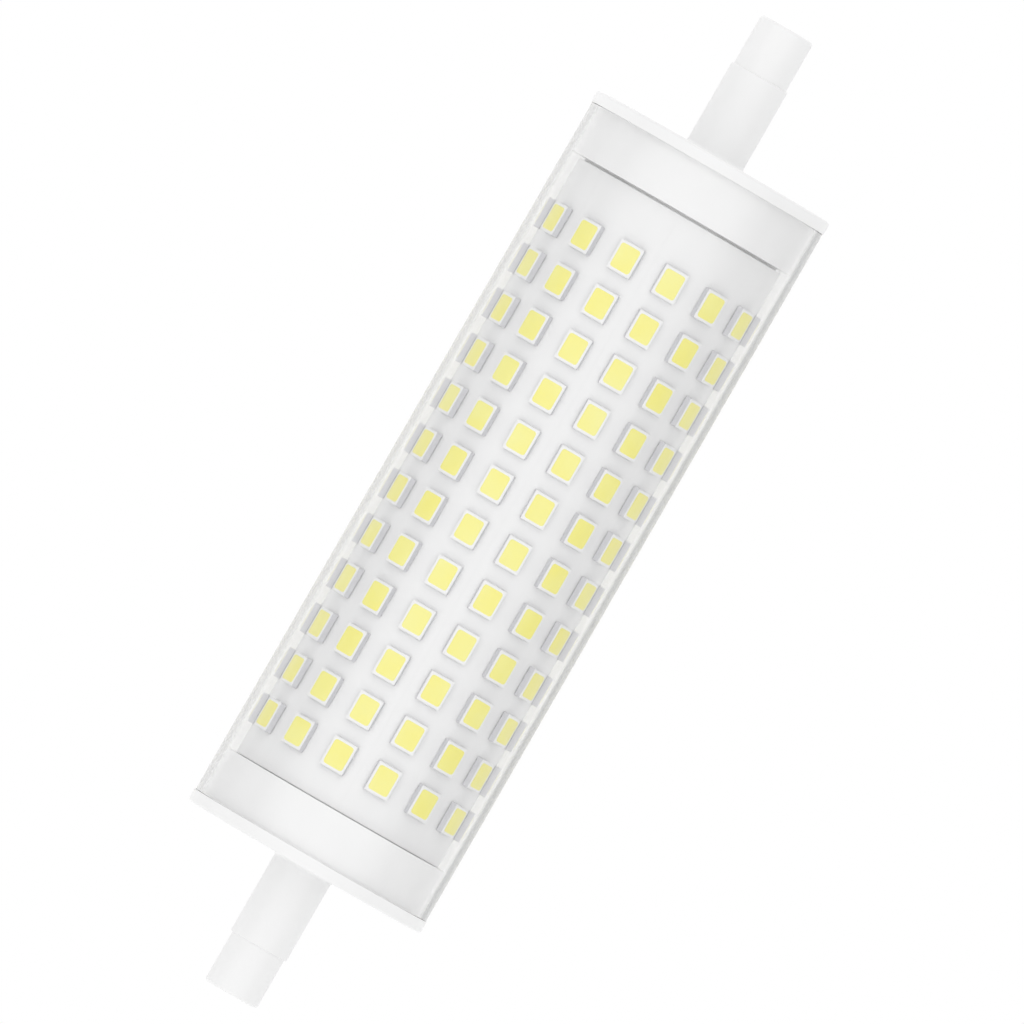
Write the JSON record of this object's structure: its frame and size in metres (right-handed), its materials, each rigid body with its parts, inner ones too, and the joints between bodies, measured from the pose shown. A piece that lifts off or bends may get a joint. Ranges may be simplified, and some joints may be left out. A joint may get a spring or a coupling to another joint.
{
  "type": "double-ended led tube lamp",
  "caption": "Linear double-ended lamp: LED chips on a rolled white board inside a clear tube, with a moulded cap and a slim stem with a recessed contact at each end.",
  "frame": {"origin": "middle of the lamp, on its axis", "axes": "+X along the lamp's axis towards the end with the open slot beside the collar, +Z towards the side shown, away from the board's seam"},
  "size_m": [0.118, 0.0284, 0.0284],
  "materials": {
    "clear_glass": "drawn clear tube",
    "cap_plastic": "moulded, fine satin",
    "contact_nickel": "nickel plate, turned",
    "board_white": "rolled sheet under white solder mask",
    "led_package": "moulded white resin",
    "led_phosphor": "cast silicone with phosphor",
    "driver_laminate": "glass laminate under solder mask",
    "tinned_copper": "tinned wire",
    "resistor_enamel": "dipped enamel",
    "varistor_coating": "epoxy coating",
    "film_case": "moulded box",
    "moulded_epoxy": "moulded black epoxy",
    "can_aluminium": "drawn can",
    "ferrite": "pressed and fired",
    "copper_enamel": "enamelled copper wire, close wound",
    "alumina_chip": "glazed chip",
    "ceramic_chip": "fired chip"
  },
  "bodies": {
    "root": {"clear_tube": "clear_glass", "end_caps": "cap_plastic", "left_contact": "contact_nickel", "right_contact": "contact_nickel", "led_board": "board_white", "led_packages": "led_package", "led_phosphors": "led_phosphor", "driver_board": "driver_laminate", "left_mains_lead": "tinned_copper", "right_mains_lead": "tinned_copper", "positive_pin": "tinned_copper", "negative_pin": "tinned_copper", "fusible_resistor": "resistor_enamel", "surge_varistor": "varistor_coating", "input_film_capacitor": "film_case", "bridge_rectifier": "moulded_epoxy", "smoothing_capacitor": "can_aluminium", "output_capacitor": "can_aluminium", "inductor_core": "ferrite", "inductor_winding": "copper_enamel", "driver_chip": "moulded_epoxy", "freewheel_diode": "moulded_epoxy", "sense_resistors": "alumina_chip", "ceramic_capacitors": "ceramic_chip"}
  },
  "joints": []
}
